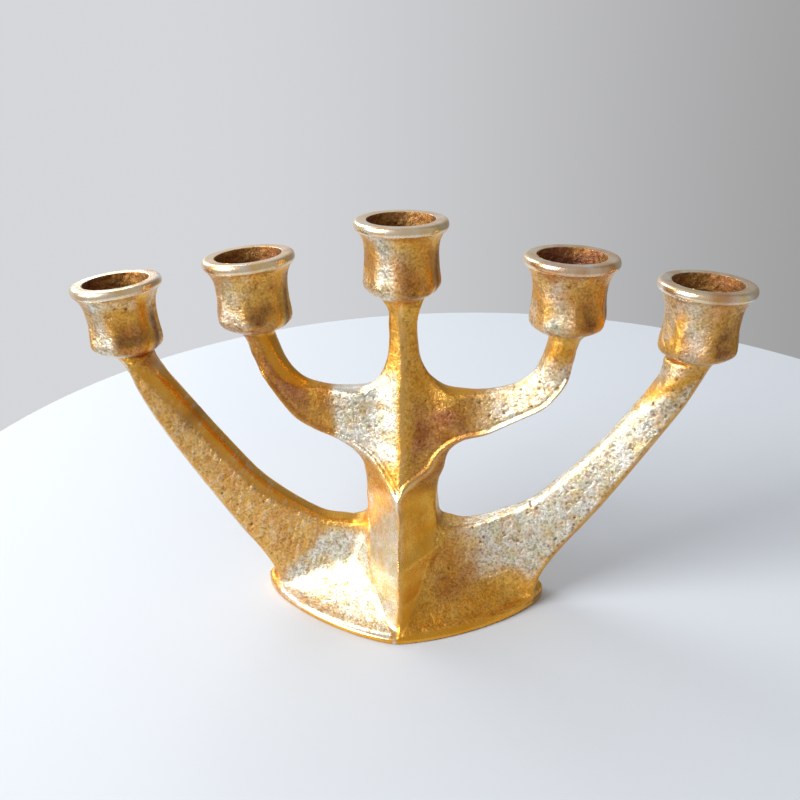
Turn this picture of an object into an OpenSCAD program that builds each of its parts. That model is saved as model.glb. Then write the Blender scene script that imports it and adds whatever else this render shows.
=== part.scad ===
// Five-light cast bronze candelabrum: a rhombic foot, a ridged pillar, two pairs
// of curved arms and five candle cups, brazed, dowelled and screwed together.
// Millimetres. Origin on the table under the pillar, +X to the right, +Z up, -Y front.

/* [Candle cups] */
// Distance of the outer left cup's axis from the centre
outer_left_x = 105; // [98:0.5:112]
// Distance of the inner left cup's axis from the centre
inner_left_x = 54.7; // [52:0.1:58]
// Distance of the inner right cup's axis from the centre
inner_right_x = 57.9; // [54:0.1:60]
// Distance of the outer right cup's axis from the centre
outer_right_x = 103; // [98:0.5:112]
// Height of the outer left cup's rim above the table
outer_left_top = 129.2; // [124:0.1:134]
// Height of the inner left cup's rim above the table
inner_left_top = 139.2; // [136:0.1:144]
// Height of the centre cup's rim above the table
centre_top = 152.1; // [150:0.1:156]
// Height of the inner right cup's rim above the table
inner_right_top = 140; // [136:0.1:144]
// Height of the outer right cup's rim above the table
outer_right_top = 131.3; // [124:0.1:134]
// Height of a cup from its seat to its rim
cup_h = 27.5; // [26:0.5:30]
// Radius of the candle bore
bore_r = 11; // [10.5:0.1:11.2]
// Depth of the candle bore below the rim
bore_depth = 21; // [18:0.5:21.5]
// Radius of the mouth at the rim
mouth_r = 11.8; // [11.5:0.1:12.5]
// Outer radius of the rim
rim_r = 16; // [15:0.1:17]
// Radius of the cup's waist under the rim
cup_neck_r = 12.7; // [12.5:0.1:13.5]
// Radius of the cup's body above its bottom chamfer
cup_body_r = 13.2; // [12.8:0.1:14]
// Radius of the cup's flat seat
seat_r = 9.4; // [9:0.1:10]

/* [Foot] */
// How far the foot's middle lies to the left of the pillar's ridge
foot_shift = 1.6; // [0:0.1:2]
// Half the foot's length
foot_half_w = 55.6; // [53:0.1:60]
// Half the foot's depth
foot_half_d = 35; // [33:0.5:37]
// Squareness of the foot's outline, where 1 is a diamond and 2 an ellipse
foot_power = 1.42; // [1.3:0.02:1.6]
// Height of the foot's thin edge
foot_edge_h = 2.6; // [2.2:0.1:4]
// Height of the joint between foot and pillar
foot_h = 9; // [8:0.5:10]
// Thickness of the felt pad
pad_t = 1.2; // [1:0.1:1.6]

/* [Pillar and arms] */
// Half the width between the flat flanks that the arms butt against
flank_x = 15.5; // [14.5:0.1:16.5]
// Half the depth of the pillar's front-to-back ridges at the foot joint
ridge_d = 30; // [27:0.5:31]

/* [Fasteners] */
// Radius of the steel dowels between arm and pillar
dowel_r = 2; // [1.5:0.1:2.5]
// Length of a dowel, half in the pillar and half in the arm
dowel_l = 14; // [10:1:14]
// Shank radius of a cup screw
cup_screw_r = 2.4; // [2:0.1:2.6]
// Length of a cup screw below its head
cup_screw_l = 11; // [9:0.5:12]
// Shank radius of a foot screw
foot_screw_r = 3; // [2.5:0.1:3]
// Distance of each foot screw in front of and behind the centre
foot_screw_y = 12; // [10:0.5:14]

/* [Hidden] */
$fn = 64;
eps = 0.01;
bronze = "darkgoldenrod";
steel = "silver";

// The pad carries the piece: the foot's rim is this much higher than the table
pad_proud = 0.4;
pad_border = 4;
pad_gap = 0.2;
recess_top = pad_t;

// Screw heads, spigots and collars
cup_head_r = 4.6;
cup_head_h = 2.2;
foot_head_r = 5;
foot_head_h = 4;
foot_screw_top = 22;
slot_w = 1.2;
slot_d = 1.2;
spigot_r = 5.5;
spigot_h = 2;
collar_h = 3.2;
arm_end_r = 6.5;
dowel_chamfer = 0.5;

// Seats of the cups as [x, z]
outer_left = [-outer_left_x, outer_left_top - cup_h];
inner_left = [-inner_left_x, inner_left_top - cup_h];
centre = [0, centre_top - cup_h];
inner_right = [inner_right_x, inner_right_top - cup_h];
outer_right = [outer_right_x, outer_right_top - cup_h];

// Heights of the dowels in the lower and upper arm joints
lower_dowel_z = [15, 26];
upper_dowel_z = [76.5, 83.5];

// Pillar sections from the foot up: height, half width, half depth and squareness,
// where 1 is a diamond, less than 1 a hollow-sided diamond and 2 an ellipse
pillar_sections = [
    [foot_h, 54, ridge_d, 0.8],
    [20, 45, ridge_d - 3, 0.8],
    [30, 34, ridge_d - 5.5, 0.8],
    [36, 24, ridge_d - 7.5, 0.85],
    [41, 15.5, ridge_d - 9, 1],
    [47, 13.6, ridge_d - 10.5, 1.1],
    [52, 13.7, ridge_d - 12, 1.2],
    [58, 15.4, ridge_d - 14, 1.3],
    [67, 24, 12.5, 1.6],
    [78, 30, 9.5, 2],
    [88, 19, 8, 2],
    [91, 14, 7.2, 2],
    [94, 9.6, 6.8, 2],
    [98, 7.2, 6.5, 2],
    [104, 5.7, 5.7, 2],
    [113, 5.2, 5.5, 2],
    [118, 5.8, 5.8, 2],
    [121, 7.2, 7, 2],
    [centre[1], seat_r, seat_r, 2]
];

// Foot sections: height, half length, half depth and squareness
foot_sections = [
    [pad_proud, foot_half_w - 0.8, foot_half_d - 0.8, foot_power],
    [pad_proud + 0.8, foot_half_w, foot_half_d, foot_power],
    [foot_edge_h, foot_half_w, foot_half_d, foot_power],
    [foot_edge_h + 2, foot_half_w - 1, foot_half_d - 2, 1.1],
    [foot_h, foot_half_w - 2, ridge_d, 0.8]
];

// Sections of a nominal lower arm from the flank to the cup: top edge x and z,
// lower edge x and z, half depth at top and at bottom, squareness
lower_arm_tip = [104, 102.7];
lower_arm_sections = [
    [flank_x, 35.5, flank_x, foot_h, 6.5, 17, 4],
    [25, 34.5, 33, foot_h, 6.5, 14, 4],
    [32.5, 35.7, 46, foot_h, 6.5, 9.5, 3.5],
    [40, 39.2, 54, 11, 6.5, 7, 3],
    [49, 44.7, 61.5, 24, 6.5, 6, 2.6],
    [57.3, 51.7, 71, 37, 6.5, 6, 2.5],
    [65.8, 60.8, 80, 52, 6.5, 6, 2.5],
    [74.8, 72, 88.5, 66.5, 6.3, 6, 2.5],
    [84.3, 86, 97, 82, 6.3, 6.2, 2.4],
    [91, 96.2, 104, 94, 6.4, 6.4, 2.2],
    [95, 102.7, 110, 102.7, 7, 7, 2]
];

// The same for a nominal upper arm
upper_arm_tip = [56.3, 112.1];
upper_arm_sections = [
    [flank_x, 89.2, flank_x, 63, 6.5, 9, 2.5],
    [28, 88, 31, 74, 6.5, 7.5, 2.5],
    [36.5, 89.7, 42, 80, 6.5, 7, 2.5],
    [42.5, 93.5, 49, 86, 6.5, 6.8, 2.5],
    [47, 98.5, 54, 92, 6.4, 6.6, 2.4],
    [49.3, 105.5, 58.5, 102, 6.3, 6.5, 2.2],
    [50, 112.1, 62.3, 112.1, 6.5, 6.5, 2]
];

// A closed ring of points on the curve |x/a|^p + |y/b|^p = 1
function ring(a, b, p, count = 48) = [
    for (i = [0 : count - 1])
        let (t = 360 * i / count)
        [a * sign(cos(t)) * pow(abs(cos(t)), 2 / p), b * sign(sin(t)) * pow(abs(sin(t)), 2 / p)]
];

// An arm's section in space: a ring between its top and lower edge points
function arm_ring(s, count = 24) =
    let (mid = [(s[0] + s[2]) / 2, (s[1] + s[3]) / 2])
    let (half = [(s[0] - s[2]) / 2, (s[1] - s[3]) / 2])
    [
        for (q = ring(1, 1, s[6], count))
            let (depth = (s[4] + s[5]) / 2 + q[0] * (s[4] - s[5]) / 2)
            [mid[0] + half[0] * q[0], -q[1] * depth, mid[1] + half[1] * q[0]]
    ];

// Stretches a nominal arm's section so that the arm ends under its own cup
function fitted(s, tip, seat) =
    let (kx = (abs(seat[0]) - flank_x) / (tip[0] - flank_x))
    let (kz = (seat[1] - foot_h) / (tip[1] - foot_h))
    [
        flank_x + (s[0] - flank_x) * kx, foot_h + (s[1] - foot_h) * kz,
        flank_x + (s[2] - flank_x) * kx, foot_h + (s[3] - foot_h) * kz,
        s[4], s[5], s[6]
    ];

// A solid skin through a list of rings that all have the same number of points
module loft(rings) {
    count = len(rings[0]);
    last = len(rings) - 1;
    side_faces = [
        for (i = [0 : last - 1])
            for (j = [0 : count - 1])
                let (k = (j + 1) % count)
                [i * count + j, (i + 1) * count + j, (i + 1) * count + k, i * count + k]
    ];
    first_cap = [for (j = [0 : count - 1]) j];
    last_cap = [for (j = [count - 1 : -1 : 0]) last * count + j];
    polyhedron(
        points = [for (r = rings) for (q = r) q],
        faces = concat(side_faces, [first_cap], [last_cap])
    );
}

// Upright sections [height, half width, half depth, squareness] as rings
function upright_rings(sections) = [
    for (s = sections) [for (q = ring(s[1], s[2], s[3])) [q[0], q[1], s[0]]]
];

// A cup's outside as a half profile from the seat up to the rim
function cup_profile() = [
    [0, 0],
    [seat_r, 0],
    [cup_body_r - 0.3, 3.4],
    [cup_body_r, 4.4],
    [cup_neck_r, 10],
    [cup_neck_r, 14],
    [cup_neck_r + 0.9, 18],
    [rim_r - 0.9, cup_h - 5.6],
    [rim_r - 0.1, cup_h - 4.6],
    [rim_r, cup_h - 3.4],
    [rim_r, cup_h - 1.8],
    [rim_r - 0.5, cup_h - 0.6],
    [rim_r - 1.4, cup_h],
    [0, cup_h]
];

// Candle cup with a bore, a flared mouth, a countersunk floor and a spigot socket
module cup(seat) {
    mouth_h = 4;
    floor_h = cup_h - bore_depth;
    translate([seat[0], 0, seat[1]])
        difference() {
            rotate_extrude() polygon(cup_profile());
            translate([0, 0, floor_h]) cylinder(r = bore_r, h = bore_depth + 1);
            translate([0, 0, cup_h - mouth_h]) cylinder(r1 = bore_r, r2 = mouth_r, h = mouth_h);
            translate([0, 0, cup_h]) cylinder(r = mouth_r, h = 1);
            translate([0, 0, floor_h - cup_head_h])
                cylinder(r1 = cup_screw_r, r2 = cup_head_r, h = cup_head_h + eps);
            translate([0, 0, -1]) cylinder(r = cup_screw_r, h = cup_h / 2);
            translate([0, 0, -1]) cylinder(r = spigot_r, h = spigot_h + 1);
        }
}

// Countersunk slotted screw that holds a cup down on its arm
module cup_screw(seat) {
    head_top = cup_h - bore_depth;
    translate([seat[0], 0, seat[1]])
        difference() {
            union() {
                translate([0, 0, head_top - cup_head_h])
                    cylinder(r1 = cup_screw_r, r2 = cup_head_r, h = cup_head_h);
                translate([0, 0, head_top - cup_head_h - cup_screw_l])
                    cylinder(r = cup_screw_r, h = cup_screw_l + eps);
            }
            translate([-cup_head_r, -slot_w / 2, head_top - slot_d])
                cube([2 * cup_head_r, slot_w, slot_d + 1]);
        }
}

// The collar and spigot that a cup sits on, and the tapped hole through them
module cup_stub(seat) {
    translate([seat[0], 0, seat[1] - collar_h])
        cylinder(r1 = arm_end_r, r2 = seat_r, h = collar_h);
    translate([seat[0], 0, seat[1] - eps]) cylinder(r = spigot_r, h = spigot_h + eps);
}

module cup_screw_hole(seat) {
    hole_bottom = cup_h - bore_depth - cup_head_h - cup_screw_l;
    translate([seat[0], 0, seat[1] + hole_bottom])
        cylinder(r = cup_screw_r, h = cup_screw_l + 1);
}

// Two steel dowels across an arm joint on one side of the pillar
module dowels(side, heights) {
    for (z = heights)
        translate([side * flank_x - dowel_l / 2, 0, z])
            rotate([0, 90, 0]) {
                cylinder(r1 = dowel_r - dowel_chamfer, r2 = dowel_r, h = dowel_chamfer);
                translate([0, 0, dowel_chamfer]) cylinder(r = dowel_r, h = dowel_l - 2 * dowel_chamfer);
                translate([0, 0, dowel_l - dowel_chamfer])
                    cylinder(r1 = dowel_r, r2 = dowel_r - dowel_chamfer, h = dowel_chamfer);
            }
}

module dowel_holes(side, heights) {
    for (z = heights)
        translate([side * flank_x - dowel_l / 2, 0, z])
            rotate([0, 90, 0]) cylinder(r = dowel_r, h = dowel_l);
}

// A curved arm on one side, from the pillar's flank to its cup
module arm(side, sections, tip, seat, heights) {
    color(bronze)
        difference() {
            union() {
                mirror([side < 0 ? 1 : 0, 0, 0])
                    loft([for (s = sections) arm_ring(fitted(s, tip, seat))]);
                cup_stub(seat);
            }
            cup_screw_hole(seat);
            dowel_holes(side, heights);
        }
}

module foot_outline(inset) {
    translate([-foot_shift, 0]) polygon(ring(foot_half_w - inset, foot_half_d - inset, foot_power));
}

module felt_pad() {
    color("darkgreen") linear_extrude(pad_t) foot_outline(pad_border + pad_gap);
}

module foot() {
    color(bronze)
        difference() {
            translate([-foot_shift, 0, 0]) loft(upright_rings(foot_sections));
            translate([0, 0, -1]) linear_extrude(recess_top + 1) foot_outline(pad_border);
            for (y = [-foot_screw_y, foot_screw_y])
                translate([0, y, 0]) {
                    cylinder(r = foot_head_r, h = recess_top + foot_head_h);
                    cylinder(r = foot_screw_r, h = foot_h + 1);
                }
        }
}

// Cheese-head screws from below the foot into the pillar
module foot_screws() {
    color(steel)
        for (y = [-foot_screw_y, foot_screw_y])
            translate([0, y, recess_top])
                difference() {
                    union() {
                        cylinder(r = foot_head_r, h = foot_head_h);
                        cylinder(r = foot_screw_r, h = foot_screw_top - recess_top);
                    }
                    translate([-foot_head_r - 1, -slot_w / 2, -1])
                        cube([2 * foot_head_r + 2, slot_w, slot_d + 1]);
                }
}

module pillar() {
    size = 2 * centre_top;
    color(bronze)
        difference() {
            union() {
                intersection() {
                    loft(upright_rings(pillar_sections));
                    translate([-flank_x, -size / 2, 0]) cube([2 * flank_x, size, size]);
                }
                translate([0, 0, centre[1] - eps]) cylinder(r = spigot_r, h = spigot_h + eps);
            }
            cup_screw_hole(centre);
            for (side = [-1, 1]) {
                dowel_holes(side, lower_dowel_z);
                dowel_holes(side, upper_dowel_z);
            }
            for (y = [-foot_screw_y, foot_screw_y])
                translate([0, y, 0]) cylinder(r = foot_screw_r, h = foot_screw_top);
        }
}

module lower_arm(side, seat) {
    arm(side, lower_arm_sections, lower_arm_tip, seat, lower_dowel_z);
}

module upper_arm(side, seat) {
    arm(side, upper_arm_sections, upper_arm_tip, seat, upper_dowel_z);
}

module bronze_cup(seat) {
    color(bronze) cup(seat);
}

module steel_screw(seat) {
    color(steel) cup_screw(seat);
}

module steel_dowels(side, heights) {
    color(steel) dowels(side, heights);
}

felt_pad();
foot();
foot_screws();
pillar();
lower_arm(-1, outer_left);  // lower_arm_left
lower_arm(1, outer_right);  // lower_arm_right
upper_arm(-1, inner_left);  // upper_arm_left
upper_arm(1, inner_right);  // upper_arm_right
steel_dowels(-1, lower_dowel_z);  // lower_dowels_left
steel_dowels(1, lower_dowel_z);  // lower_dowels_right
steel_dowels(-1, upper_dowel_z);  // upper_dowels_left
steel_dowels(1, upper_dowel_z);  // upper_dowels_right
bronze_cup(outer_left);  // cup_outer_left
bronze_cup(inner_left);  // cup_inner_left
bronze_cup(centre);  // cup_centre
bronze_cup(inner_right);  // cup_inner_right
bronze_cup(outer_right);  // cup_outer_right
steel_screw(outer_left);  // cup_screw_outer_left
steel_screw(inner_left);  // cup_screw_inner_left
steel_screw(centre);  // cup_screw_centre
steel_screw(inner_right);  // cup_screw_inner_right
steel_screw(outer_right);  // cup_screw_outer_right
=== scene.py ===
"""Looks of a five-light cast bronze candelabrum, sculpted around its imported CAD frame.

The body is one signed field: an outline seen from the front, a half depth behind every
point of it, and a foot plate. The field is meshed once, given its cast surface, and cut
at the joints into the foot, the pillar and the four arms. The cups are turned. Shapes are
in millimetres in the row frame, and become metres when a mesh is made.
"""

import math

import bmesh
import bpy
import numpy as np
from mathutils import Matrix, Vector


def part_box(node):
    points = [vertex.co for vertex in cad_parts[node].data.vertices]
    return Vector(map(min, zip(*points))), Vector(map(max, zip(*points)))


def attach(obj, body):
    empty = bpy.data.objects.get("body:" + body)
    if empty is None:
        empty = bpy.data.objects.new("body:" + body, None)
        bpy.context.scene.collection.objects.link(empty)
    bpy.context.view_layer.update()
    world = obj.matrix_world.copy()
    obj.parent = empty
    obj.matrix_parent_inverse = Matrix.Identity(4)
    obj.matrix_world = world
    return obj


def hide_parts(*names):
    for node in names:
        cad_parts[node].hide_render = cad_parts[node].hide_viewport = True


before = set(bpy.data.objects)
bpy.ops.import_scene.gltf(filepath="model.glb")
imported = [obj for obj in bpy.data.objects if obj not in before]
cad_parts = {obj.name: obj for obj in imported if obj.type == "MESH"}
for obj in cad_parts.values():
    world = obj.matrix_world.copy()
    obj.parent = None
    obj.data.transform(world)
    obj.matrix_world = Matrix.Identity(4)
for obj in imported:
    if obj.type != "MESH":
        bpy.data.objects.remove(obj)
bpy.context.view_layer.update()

MM = 0.001
# Spacing of the field's grid, and how far past a joint faces are kept before they are cut
CELL = 0.5
SEAM_MARGIN = 3.0

# ---- places from the frame

CUP_NAMES = ["outer_left", "inner_left", "centre", "inner_right", "outer_right"]

# How far each cup was set off its place to the right, how many degrees it leans to the right,
# and how many degrees its rim dips to the right
CUP_SET = {"outer_left": (1.0, -2.3, -4.0), "inner_left": (0.8, -1.5, -3.5), "centre": (0, 0, 0.5),
           "inner_right": (-0.2, 0.4, 2.0), "outer_right": (-0.5, 1.8, 2.7)}


def cup_place(name):
    """Axis x, seat height and rim height of a cup."""
    low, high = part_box("cup_" + name)
    return (low[0] + high[0]) / 2 / MM + CUP_SET[name][0], low[2] / MM, high[2] / MM


CUPS = {name: cup_place(name) for name in CUP_NAMES}
FLANK_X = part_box("pillar")[1][0] / MM
FOOT_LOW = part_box("foot")[0][2] / MM
FOOT_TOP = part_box("foot")[1][2] / MM
FOOT_X = (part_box("foot")[0][0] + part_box("foot")[1][0]) / 2 / MM
FOOT_HALF_W = (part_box("foot")[1][0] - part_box("foot")[0][0]) / 2 / MM
FOOT_HALF_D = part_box("foot")[1][1] / MM
PAD_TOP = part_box("felt_pad")[1][2] / MM
PAD_HALF_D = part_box("felt_pad")[1][1] / MM
PAD_HALF_W = PAD_HALF_D - FOOT_HALF_D + FOOT_HALF_W
# Width of the foot's bronze border round the pad's recess, and size of the foot screws' bores
PAD_BORDER = 4
SCREW_HEAD_R = 5
SCREW_HEAD_H = 4
SCREW_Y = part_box("foot_screws")[1][1] / MM - SCREW_HEAD_R
# Radius of each neck at its cup's seat
SEAT_R = 6.9

# ---- outline from the front

# Each side's outline in three runs of points (x, z): the stem and the upper edge of the
# upper arm; the underside of the upper arm, the waist and the top of the lower arm; and
# the lower edge of the lower arm.
LEFT_RUNS = [
    [(-7.7, 124.6), (-5, 120), (-5, 115), (-4.9, 110), (-5.6, 103), (-7.2, 98), (-9.5, 93.8),
     (-13, 90.9), (-20.5, 89.9), (-28.5, 90.1), (-35.7, 92.2), (-40.6, 96), (-43.8, 100.6),
     (-46, 106), (-48, 111.7)],
    [(-58.8, 111.7), (-57, 107.8), (-55.7, 103), (-52, 96.9), (-48.2, 90.4), (-44.7, 84.9),
     (-39.9, 78.8), (-33, 74), (-25.5, 70), (-19.8, 65.6), (-16.4, 61.2), (-15.2, 56),
     (-14.8, 51.5), (-14.8, 46.5), (-14.7, 40.5), (-17.3, 33.9), (-25.5, 33.9), (-33.3, 34.9),
     (-41, 38.8), (-49.5, 44.3), (-58, 51.4), (-66.4, 61.2), (-75.4, 72.6), (-85.2, 85.8),
     (-93.6, 96.6), (-95.5, 101.7)],
    [(-107.3, 101.7), (-104.6, 97.4), (-101, 87), (-90.9, 68), (-80.2, 50), (-72.7, 38.2), (-65.7, 27.3),
     (-59.7, 19.8), (-55.5, 14), (-53.2, 9), (-50, 2)],
]
RIGHT_RUNS = [
    [(8, 124.6), (6.2, 120), (5.1, 115), (5.1, 110), (5.9, 103.1), (7.8, 98), (10.9, 93.8),
     (16.2, 90.5), (26, 89.5), (34.2, 90.8), (41.9, 93.4), (46.9, 97.6), (49.5, 102.8),
     (51, 108), (51.8, 112.5)],
    [(64, 112.5), (61.9, 109), (60.6, 103), (58.5, 96), (54.8, 89.8), (50.5, 85.3),
     (45.3, 82.2), (38.5, 78.2), (30.5, 73.7), (21.9, 70.9), (16.8, 66.3), (15, 59.4),
     (12.9, 53.5), (12, 46.5), (12.2, 40.8), (13.8, 34.3), (22.5, 33.7), (31.2, 36),
     (39, 39.6), (48, 44), (55.9, 51.3), (64.5, 60.2), (73.9, 71.4), (83.7, 85.1), (90.5, 95.2),
     (92.1, 103.8)],
    [(108.6, 103.8), (106.7, 99.6), (101.6, 89.1), (91.9, 73.8), (82.1, 57.7), (71.7, 41.1),
     (60.5, 25.2), (55.1, 17.2), (52.3, 11), (50, 2)],
]


def smooth_run(points, steps=6):
    """A Catmull-Rom curve through the points, as an array of (x, z)."""
    p = np.array(points, float)
    p = np.vstack([2 * p[0] - p[1], p, 2 * p[-1] - p[-2]])
    out = []
    for a, b, c, d in zip(p[:-3], p[1:-2], p[2:-1], p[3:]):
        for t in np.arange(steps) / steps:
            bend = (2 * a - 5 * b + 4 * c - d) * t**2 + (3 * b - a - 3 * c + d) * t**3
            out.append(0.5 * (2 * b + (c - a) * t + bend))
    return np.array(out + [p[-2]])


def distance_to(line, x, z):
    """Unsigned distance from every (x, z) to a polyline."""
    best = np.full(x.shape, 1e9)
    for a, b in zip(line[:-1], line[1:]):
        e = b - a
        t = np.clip(((x - a[0]) * e[0] + (z - a[1]) * e[1]) / max(e @ e, 1e-9), 0, 1)
        best = np.minimum(best, (x - a[0] - t * e[0]) ** 2 + (z - a[1] - t * e[1]) ** 2)
    return np.sqrt(best)


def inside(line, x, z):
    """True where (x, z) is inside a closed polyline."""
    odd = np.zeros(x.shape, bool)
    for a, b in zip(line, np.roll(line, -1, axis=0)):
        if a[1] == b[1]:
            continue
        crosses = (a[1] > z) != (b[1] > z)
        odd ^= crosses & (x < a[0] + (z - a[1]) * (b[0] - a[0]) / (b[1] - a[1]))
    return odd


def ramp(value, low, high):
    """0 below low, 1 above high, smooth between them."""
    t = np.clip((value - low) / (high - low), 0, 1)
    return t * t * (3 - 2 * t)


def bump_at(value, place, width):
    """1 at a place, falling to 0 about two widths from it."""
    return np.exp(-(((value - place) / width) ** 2))


def smooth_min(a, b, r):
    """The smaller value, with the corner between them rounded over r."""
    h = np.maximum(r - np.abs(a - b), 0) / r
    return np.minimum(a, b) - h * h * r / 4


def smooth_max(a, b, r):
    """The larger value, rounded in the same way."""
    return -smooth_min(-a, -b, r)


# ---- the field

# Half depth of the front ridge at each height
RIDGE = [(0, 32.2), (3, 32), (8, 30.4), (20, 27.3), (30, 24.6), (40, 21.6), (50, 18.6), (58, 15.8),
         (66, 12.8), (76, 10.2), (84, 8.6), (95, 7.0), (105, 6.2), (113, 6.0), (119, 6.4), (125, 9)]
# Half depth of the shield's thin rim, and of its flanks where they meet the outline
EDGE_DEPTH = 1.3
FLANK_EDGE = 4.0
# Radius that the field rounds the outline's edge by
EDGE_ROUND = 1.5
# Steepness of the arms' bevels and of the flanks
BEVEL_SLOPE = 1.15
FLANK_SLOPE = 1.12
# Power of the foot's outline (1 is a rhombus, 2 an ellipse), height of its edge at the front,
# how much the edge rises to the left and right ends, and width of its flat rim
FOOT_POWER = 1.42
FOOT_EDGE = 2.6
FOOT_RISE = 3.4
RIM_WIDTH = 2.8
# Height of the bead between shield and flank, and of the collar below each cup
BEAD = 1.0
COLLAR_H = 9.5
# Half depth of the upper and lower arms' oval ends
UPPER_END = 7.2
LOWER_END = 8
# The field's limits in x, y and z
GRID = ((-118, 118), (-37, 37), (-1.5, 127))


def foot_half_depth(x):
    """The foot's outline seen from above: half its depth at x."""
    u = np.clip(np.abs(x - FOOT_X) / FOOT_HALF_W, 0, 1)
    return FOOT_HALF_D * (1 - u**FOOT_POWER) ** (1 / FOOT_POWER)


def gap_height(x):
    """A height that passes between the upper and lower arms at distance x."""
    return 48 + 0.62 * np.maximum(np.abs(x) - 18, 0)


def ridge_x(z):
    """The ridge wanders a little, as a filed edge does."""
    return 0.28 * np.sin(z / 5.3 + 1) + 0.16 * np.sin(z / 2.1)


def flank_reach(x, z):
    """How far the buttress's flat flanks reach sideways before the web over the foot begins."""
    left = np.interp(z, [3, 5, 8, 13, 20, 30, 60], [3, 6, 9, 12.5, 14, 14.5, 15])
    right = np.interp(z, [3, 13, 27, 60], [2, 7.5, 12, 14])
    return np.where(x < 0, left, right)


def on_flank(x, z):
    """1 on the buttress's flanks, 0 off them."""
    return ramp(flank_reach(x, z) - np.abs(x), 0, 1.5) * ramp(58 - z - 0.4 * np.abs(x), 0, 4)


def rounded_end(depth, one, other, deep, share):
    """Turns an arm's wedge into an oval section towards its cup."""
    across = 2 * one / (one + other + 0.01) - 1
    return depth + (deep * np.sqrt(np.maximum(1 - across**2, 0.12)) - depth) * share


def shield_depth(x, z, top, under, away, ridge):
    """Half depth of the shield and the upper arms' front faces, and where their bevel is.

    away is the distance from the ridge and ridge its half depth."""
    side = np.abs(x)
    thin = 2.8 + np.where(x < 0, 1.8 * ramp(side, 30, 50), -1.2 * ramp(x, 22, 40))
    deep = upper_deep(side)
    plate = thin + (deep - thin) * (top / (top + under)) ** 0.8
    face = plate + (ridge - plate) * (1 - np.clip(away / 27, 0, 1)) ** 1.35
    wedge = EDGE_DEPTH + (ridge - EDGE_DEPTH) * top / (top + away + 0.01)
    shield = face + (np.minimum(face, wedge) - face) * (1 - ramp(side, 7, 20))
    bevel = 0.5 + 2.7 * ramp(side, 30, 46) * np.where(x < 0, 1, 0.2)
    bevel_depth = np.maximum(thin - BEVEL_SLOPE * bevel, EDGE_DEPTH) + BEVEL_SLOPE * top
    on_bevel = ramp(shield - bevel_depth, 0, 1)
    shield = smooth_min(shield, bevel_depth, 0.7)
    return rounded_end(shield, top, under, UPPER_END, ramp(z, 90, 112)), on_bevel


def upper_deep(side):
    """Half depth of the upper arms along their lower edge."""
    return 6.2 + 2.0 * ramp(side, 24, 52)


def lower_deep(side):
    """Half depth of the lower arms along their lower edge."""
    return 6.8 + 1.0 * ramp(side, 60, 92)


def low_plate_depth(x, under, lower):
    """Half depth of the lower arms' front faces, and where their bevel is."""
    side = np.abs(x)
    left_thin = 1.8 * ramp(side, 34, 60) + 0.8 * ramp(side, 75, 92)
    thin = 3.0 + np.where(x < 0, left_thin, -1.4 * ramp(x, 18, 45))
    deep = lower_deep(side)
    plate = thin + (deep - thin) * (under / (under + lower)) ** 0.8 + 1.4 * (1 - ramp(side, 14, 24))
    bevel = 0.9 + (1.9 * ramp(side, 34, 56) + 0.6 * ramp(side, 75, 92)) * np.where(x < 0, 1, 0.3)
    bevel_depth = np.maximum(thin - BEVEL_SLOPE * bevel, 1.8) + BEVEL_SLOPE * under
    bevel_side = ramp(side, 17, 22) * np.where(x < 0, 1, 0.15)
    on_bevel = ramp(plate - bevel_depth, -0.6, 1.2) * bevel_side
    bevelled = smooth_min(plate, bevel_depth + 6 * (1 - bevel_side), 1.8)
    return np.where(side > 16, bevelled, plate), on_bevel


def low_depth(x, z, plate, flank, away, ridge):
    """Half depth below the shield: the buttress, and the web that spreads from it over the foot."""
    steeper = 0.22 * ramp(x, 0, 4) * ramp(30 - z, 0, 18)
    buttress = ridge - (FLANK_SLOPE + steeper) * away
    web_top = np.maximum(11 + 0.62 * (47 - np.abs(x)), 7.5)
    climb = np.clip((z - 3.0) / (web_top - 3.0), 0, 1)
    reach = np.maximum(foot_half_depth(x) - RIM_WIDTH - plate, 0)
    web = plate + reach * (1 - climb) ** np.where(x < 0, 2.5, 2.15)
    return smooth_max(smooth_max(web, plate, 4), smooth_min(buttress, flank, 1), np.where(x < 0, 2, 5))


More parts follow.
